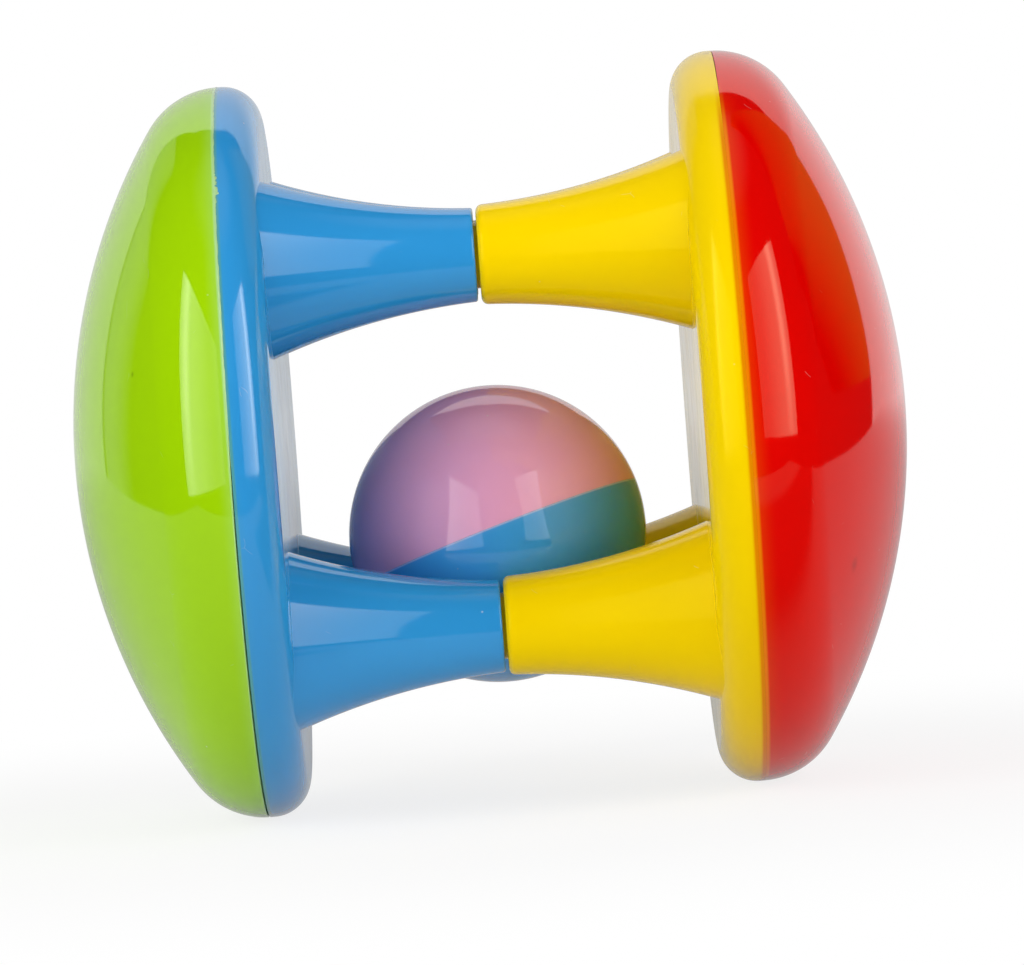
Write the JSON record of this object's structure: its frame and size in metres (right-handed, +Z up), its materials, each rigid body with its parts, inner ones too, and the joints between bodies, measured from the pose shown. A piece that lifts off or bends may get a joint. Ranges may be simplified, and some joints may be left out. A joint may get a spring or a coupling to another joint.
{
  "type": "caged-ball rattle",
  "caption": "Baby rattle of two domed drums joined by trumpet legs that plug together, with a loose two-colour ball trapped in the cage between them.",
  "frame": {"origin": "on the resting surface, under the middle of the cage", "axes": "+X along the drum axis from the green end to the red end, +Z up, with two of the four leg pairs above the axis and two below it"},
  "size_m": [0.1, 0.088, 0.088],
  "materials": {
    "green_plastic": "gloss moulded",
    "blue_plastic": "gloss moulded",
    "yellow_plastic": "gloss moulded",
    "red_plastic": "gloss moulded",
    "pink_plastic": "gloss moulded",
    "ball_blue_plastic": "gloss moulded",
    "bead_plastic": "gloss moulded"
  },
  "bodies": {
    "frame": {"green_dome": "green_plastic", "blue_base": "blue_plastic", "yellow_base": "yellow_plastic", "red_dome": "red_plastic"},
    "ball_beads": {"ball_beads": "bead_plastic"},
    "ball": {"ball_pink_half": "pink_plastic", "ball_blue_half": "ball_blue_plastic"},
    "green_beads": {"green_drum_beads": "bead_plastic"},
    "red_beads": {"red_drum_beads": "bead_plastic"}
  },
  "joints": [
    {"name": "ball_bounce", "type": "slide", "parent": "frame", "child": "ball_beads", "axis": [0, 0, 1], "range_m": [0, 0.024]},
    {"name": "ball_spin", "type": "hinge", "parent": "ball_beads", "child": "ball", "pos_m": [0, 0, 0.032], "axis": [0, 1, 0], "continuous": true},
    {"name": "green_beads_swirl", "type": "hinge", "parent": "frame", "child": "green_beads", "pos_m": [0, 0, 0.044], "axis": [1, 0, 0], "continuous": true},
    {"name": "red_beads_swirl", "type": "hinge", "parent": "frame", "child": "red_beads", "pos_m": [0, 0, 0.044], "axis": [1, 0, 0], "continuous": true}
  ]
}
